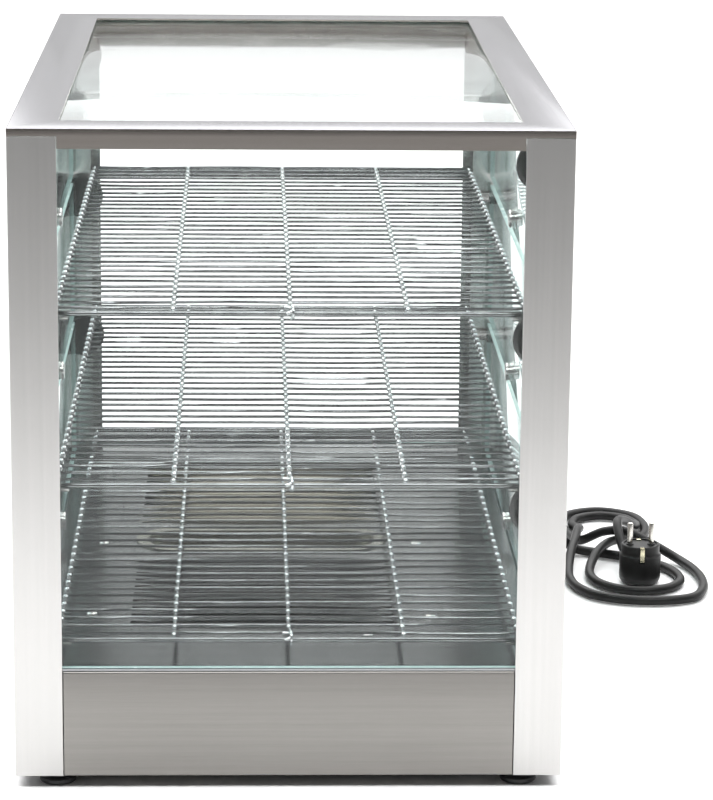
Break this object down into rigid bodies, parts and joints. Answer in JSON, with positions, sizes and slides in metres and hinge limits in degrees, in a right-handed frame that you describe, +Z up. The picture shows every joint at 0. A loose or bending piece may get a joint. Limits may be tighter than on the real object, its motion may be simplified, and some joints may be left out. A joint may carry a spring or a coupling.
{
  "type": "hot food display case",
  "caption": "Countertop heated display case: steel frame with glass top, ends and side flaps, wire shelves over a heated base with a water tray, mains cord with plug.",
  "frame": {"origin": "under the middle of the case, on the surface its feet stand on", "axes": "+Z up; the long sides with the flaps face +X and -X, the narrow glass ends face -Y (front) and +Y (rear); the cord and controls are on the +X side"},
  "size_m": [0.5939, 0.742, 0.488],
  "materials": {
    "brushed_steel": "brushed",
    "polished_steel": "polished",
    "heater_steel": "satin",
    "shelf_wire": "bright zinc plated",
    "clear_glass": "polished",
    "black_plastic": "gloss",
    "black_rubber": "matte",
    "red_plastic": "gloss",
    "ceramic": "matte"
  },
  "bodies": {
    "case": {"top_frame": "brushed_steel", "top_glass": "clear_glass", "front_glass": "clear_glass", "rear_glass": "clear_glass", "post_front_left": "brushed_steel", "post_front_right": "brushed_steel", "post_rear_left": "brushed_steel", "post_rear_right": "brushed_steel", "base_panel_front": "brushed_steel", "base_panel_rear": "brushed_steel", "base_panel_left": "brushed_steel", "base_panel_right": "brushed_steel", "floor_plate": "polished_steel", "bottom_plate": "polished_steel", "foot_front_left": "black_rubber", "foot_front_right": "black_rubber", "foot_rear_left": "black_rubber", "foot_rear_right": "black_rubber", "shelf_rest_top_rear": "shelf_wire", "shelf_rest_middle_rear": "shelf_wire", "shelf_rest_bottom_rear": "shelf_wire", "heating_element": "heater_steel", "thermostat": "ceramic", "switch_frame": "black_plastic", "cord_gland": "black_rubber", "mains_cord": "black_rubber", "plug": "black_plastic"},
    "flap_right_top": {"flap_right_top_glass": "clear_glass", "flap_right_top_hub": "black_plastic", "flap_right_top_pivot": "brushed_steel", "flap_right_top_knob": "polished_steel"},
    "flap_right_middle": {"flap_right_middle_glass": "clear_glass", "flap_right_middle_hub": "black_plastic", "flap_right_middle_pivot": "brushed_steel", "flap_right_middle_knob": "polished_steel"},
    "flap_right_bottom": {"flap_right_bottom_glass": "clear_glass", "flap_right_bottom_hub": "black_plastic", "flap_right_bottom_pivot": "brushed_steel", "flap_right_bottom_knob": "polished_steel"},
    "flap_left_top": {"flap_left_top_glass": "clear_glass", "flap_left_top_hub": "black_plastic", "flap_left_top_pivot": "brushed_steel", "flap_left_top_knob": "polished_steel"},
    "flap_left_middle": {"flap_left_middle_glass": "clear_glass", "flap_left_middle_hub": "black_plastic", "flap_left_middle_pivot": "brushed_steel", "flap_left_middle_knob": "polished_steel"},
    "flap_left_bottom": {"flap_left_bottom_glass": "clear_glass", "flap_left_bottom_hub": "black_plastic", "flap_left_bottom_pivot": "brushed_steel", "flap_left_bottom_knob": "polished_steel"},
    "shelf_top": {"shelf_top": "shelf_wire"},
    "shelf_middle": {"shelf_middle": "shelf_wire"},
    "shelf_bottom": {"shelf_bottom": "shelf_wire"},
    "water_tray": {"water_tray": "polished_steel"},
    "thermostat_knob": {"thermostat_knob": "black_plastic"},
    "switch_rocker": {"switch_rocker": "red_plastic"}
  },
  "joints": [
    {"name": "flap_right_top_hinge", "type": "hinge", "parent": "case", "child": "flap_right_top", "pos_m": [0.18, 0, 0.4565], "axis": [0, -1, 0], "range_deg": [0, 85]},
    {"name": "flap_right_middle_hinge", "type": "hinge", "parent": "case", "child": "flap_right_middle", "pos_m": [0.18, 0, 0.3291], "axis": [0, -1, 0], "range_deg": [0, 85]},
    {"name": "flap_right_bottom_hinge", "type": "hinge", "parent": "case", "child": "flap_right_bottom", "pos_m": [0.18, 0, 0.2017], "axis": [0, -1, 0], "range_deg": [0, 85]},
    {"name": "flap_left_top_hinge", "type": "hinge", "parent": "case", "child": "flap_left_top", "pos_m": [-0.18, 0, 0.4565], "axis": [0, 1, 0], "range_deg": [0, 85]},
    {"name": "flap_left_middle_hinge", "type": "hinge", "parent": "case", "child": "flap_left_middle", "pos_m": [-0.18, 0, 0.3291], "axis": [0, 1, 0], "range_deg": [0, 85]},
    {"name": "flap_left_bottom_hinge", "type": "hinge", "parent": "case", "child": "flap_left_bottom", "pos_m": [-0.18, 0, 0.2017], "axis": [0, 1, 0], "range_deg": [0, 85]},
    {"name": "shelf_top_lift", "type": "slide", "parent": "case", "child": "shelf_top", "axis": [0, 0, 1], "range_m": [0, 0.02]},
    {"name": "shelf_middle_lift", "type": "slide", "parent": "case", "child": "shelf_middle", "axis": [0, 0, 1], "range_m": [0, 0.02]},
    {"name": "shelf_bottom_lift", "type": "slide", "parent": "case", "child": "shelf_bottom", "axis": [0, 0, 1], "range_m": [0, 0.02]},
    {"name": "water_tray_lift", "type": "slide", "parent": "case", "child": "water_tray", "axis": [0, 0, 1], "range_m": [0, 0.011]},
    {"name": "thermostat_turn", "type": "hinge", "parent": "case", "child": "thermostat_knob", "pos_m": [0.2, -0.045, 0.05], "axis": [1, 0, 0], "range_deg": [0, 270]},
    {"name": "switch_rock", "type": "hinge", "parent": "case", "child": "switch_rocker", "pos_m": [0.198, 0.035, 0.05], "axis": [0, 0, 1], "range_deg": [-8, 8]}
  ]
}
